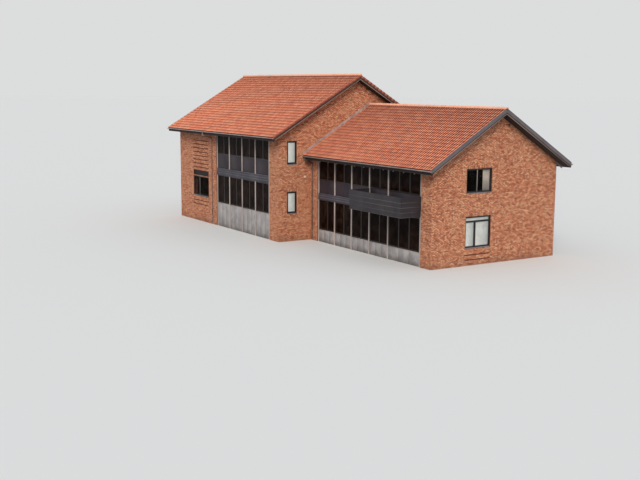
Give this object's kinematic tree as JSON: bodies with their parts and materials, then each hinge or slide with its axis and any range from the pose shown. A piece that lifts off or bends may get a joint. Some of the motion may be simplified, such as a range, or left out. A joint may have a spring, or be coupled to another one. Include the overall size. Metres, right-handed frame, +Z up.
{
  "type": "railway station building",
  "caption": "Two-storey red brick station building in two wings, with saddle roofs of clay tiles, glazed bays between brick piers and a small balcony.",
  "frame": {"origin": "on the ground under the middle of the building's bounding box", "axes": "+X runs along the track towards the low wing, +Y away from the track, +Z up"},
  "size_m": [30.85, 14.248, 11.4884],
  "materials": {
    "brickwork": "matt orange-red facing brick",
    "clay_tiles": "matt orange-red clay roof tiles",
    "concrete": "plain concrete",
    "post_grey": "light grey paint, satin",
    "dark_frames": "near-black paint, satin",
    "window_glass": "clear double glazing",
    "blue_grey_panels": "dark blue-grey paint, satin",
    "slate_bands": "slate-blue folded sheet",
    "pale_panels": "weathered pale grey panels",
    "roof_timber": "dark stained boarding",
    "rafter_timber": "grey painted timber",
    "verge_paint": "slate grey painted boards",
    "light_verge_paint": "light grey painted boards",
    "zinc": "weathered zinc sheet",
    "sill_stone": "grey slate",
    "lamp_white": "opal white"
  },
  "bodies": {
    "root": {"balcony_floor": "slate_bands", "balcony_parapet": "blue_grey_panels", "downpipes": "zinc", "floor_bands": "slate_bands", "gutters": "zinc", "louvres": "dark_frames", "low_base_panels": "pale_panels", "low_front_piers": "brickwork", "low_front_roof_deck": "roof_timber", "low_front_tiles": "clay_tiles", "low_ground_floor": "concrete", "low_posts": "post_grey", "low_rear_piers": "brickwork", "low_rear_roof_deck": "roof_timber", "low_rear_tiles": "clay_tiles", "low_ridge_tiles": "clay_tiles", "low_right_gable_wall": "brickwork", "low_spandrel_panels": "blue_grey_panels", "low_upper_floor": "concrete", "low_verge_boards": "verge_paint", "low_window_frames": "dark_frames", "low_window_glass": "window_glass", "rafter_feet": "rafter_timber", "roof_flashing": "zinc", "tall_base_panels": "pale_panels", "tall_front_piers": "brickwork", "tall_front_roof_deck": "roof_timber", "tall_front_tiles": "clay_tiles", "tall_ground_floor": "concrete", "tall_left_gable_wall": "brickwork", "tall_posts": "post_grey", "tall_rear_piers": "brickwork", "tall_rear_roof_deck": "roof_timber", "tall_rear_tiles": "clay_tiles", "tall_ridge_tiles": "clay_tiles", "tall_right_gable_wall": "brickwork", "tall_spandrel_panels": "blue_grey_panels", "tall_upper_floor": "concrete", "tall_verge_boards": "light_verge_paint", "tall_window_frames": "dark_frames", "tall_window_glass": "window_glass", "wall_lamp": "lamp_white", "wall_window_frames": "dark_frames", "wall_window_glass": "window_glass", "window_sills": "sill_stone"}
  },
  "joints": []
}
